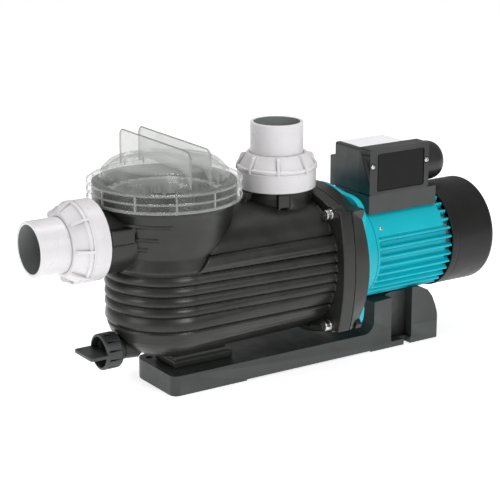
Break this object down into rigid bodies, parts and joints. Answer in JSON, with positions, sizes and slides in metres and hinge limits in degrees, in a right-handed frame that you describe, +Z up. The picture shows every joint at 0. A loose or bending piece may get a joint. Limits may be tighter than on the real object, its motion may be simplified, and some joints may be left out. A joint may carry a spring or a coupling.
{
  "type": "pool pump",
  "caption": "Self-priming pool pump with a clear-lidded strainer pot, ribbed volute, pipe unions on the suction and discharge, and a finned motor on a narrow base.",
  "frame": {"origin": "on the floor, below the middle of the pump's length and width", "axes": "+X along the motor shaft from the suction union to the fan cowl, +Z up, +Y to the far side from the terminal cover"},
  "size_m": [0.663, 0.212, 0.3195],
  "materials": {
    "body_black": "satin moulded",
    "clear_lid": "clear moulded plastic",
    "white_pvc": "semi-gloss",
    "motor_turquoise": "satin paint",
    "box_black": "fine texture",
    "rubber_black": "matte",
    "basket_grey": "satin",
    "steel": "bright",
    "cast_aluminium": "cast",
    "laminated_steel": "dull",
    "copper": "varnished copper wire",
    "seal_ceramic": "lapped",
    "label_white": "satin"
  },
  "bodies": {
    "pump": {"pump_body": "body_black", "motor_bracket": "body_black", "flange_gasket": "rubber_black", "rating_plate": "rubber_black", "diffuser": "box_black", "fan_cowl": "box_black", "terminal_box": "box_black", "terminal_cover": "box_black", "capacitor_cover": "box_black", "cable_gland": "box_black", "base": "box_black", "front_bearing": "steel", "rear_bearing": "steel", "stator_core": "laminated_steel", "front_winding": "copper", "rear_winding": "copper", "seal_seat": "seal_ceramic", "motor_front_shield": "motor_turquoise", "motor_housing": "motor_turquoise", "motor_rear_shield": "cast_aluminium", "capacitor": "cast_aluminium", "terminal_block": "label_white", "top_label": "label_white", "flange_bolt_1": "steel", "flange_bolt_2": "steel", "flange_bolt_3": "steel", "flange_bolt_4": "steel", "cover_screw_1": "steel", "cover_screw_2": "steel"},
    "lid_seal": {"lid_o_ring": "rubber_black"},
    "lid": {"strainer_lid": "clear_lid"},
    "basket": {"strainer_basket": "basket_grey"},
    "inlet_pipe_end": {"inlet_tail": "white_pvc", "inlet_o_ring": "rubber_black"},
    "inlet_union_nut": {"inlet_nut": "white_pvc"},
    "outlet_pipe_end": {"outlet_tail": "white_pvc", "outlet_o_ring": "rubber_black"},
    "outlet_union_nut": {"outlet_nut": "white_pvc"},
    "drain_seal": {"drain_o_ring": "rubber_black"},
    "drain_cap": {"drain_plug": "body_black"},
    "rotating_set": {"motor_shaft": "steel", "impeller": "box_black", "seal_rotating": "rubber_black", "rotor_core": "laminated_steel", "cooling_fan": "box_black"}
  },
  "joints": [
    {"name": "lid_lift", "type": "slide", "parent": "pump", "child": "lid_seal", "axis": [0, 0, 1], "range_m": [0, 0.42]},
    {"name": "lid_turn", "type": "hinge", "parent": "lid_seal", "child": "lid", "pos_m": [-0.1445, 0, 0.26], "axis": [0, 0, 1], "range_deg": [0, 120]},
    {"name": "basket_lift", "type": "slide", "parent": "pump", "child": "basket", "axis": [0, 0, 1], "range_m": [0, 0.21]},
    {"name": "inlet_back_off", "type": "slide", "parent": "pump", "child": "inlet_pipe_end", "axis": [-1, 0, 0], "range_m": [0, 0.0301]},
    {"name": "inlet_nut_turn", "type": "hinge", "parent": "inlet_pipe_end", "child": "inlet_union_nut", "pos_m": [-0.2705, 0, 0.205], "axis": [-1, 0, 0], "range_deg": [0, 1800]},
    {"name": "outlet_back_off", "type": "slide", "parent": "pump", "child": "outlet_pipe_end", "axis": [0, 0, 1], "range_m": [0, 0.0301]},
    {"name": "outlet_nut_turn", "type": "hinge", "parent": "outlet_pipe_end", "child": "outlet_union_nut", "pos_m": [0.022, 0, 0.2595], "axis": [0, 0, 1], "range_deg": [0, 1800]},
    {"name": "drain_back_off", "type": "slide", "parent": "pump", "child": "drain_seal", "axis": [-1, 0, 0], "range_m": [0, 0.02]},
    {"name": "drain_turn", "type": "hinge", "parent": "drain_seal", "child": "drain_cap", "pos_m": [-0.2415, 0, 0.06], "axis": [-1, 0, 0], "range_deg": [0, 3600]},
    {"name": "shaft_spin", "type": "hinge", "parent": "pump", "child": "rotating_set", "pos_m": [0, 0, 0.135], "axis": [1, 0, 0], "continuous": true}
  ],
  "couplings": [
    {"joint": "basket_lift", "follows": "lid_lift", "ratio": 0.5},
    {"joint": "inlet_back_off", "follows": "inlet_nut_turn", "m_per_rad": 0.000955},
    {"joint": "outlet_back_off", "follows": "outlet_nut_turn", "m_per_rad": 0.000955},
    {"joint": "drain_back_off", "follows": "drain_turn", "m_per_rad": 0.000318}
  ]
}
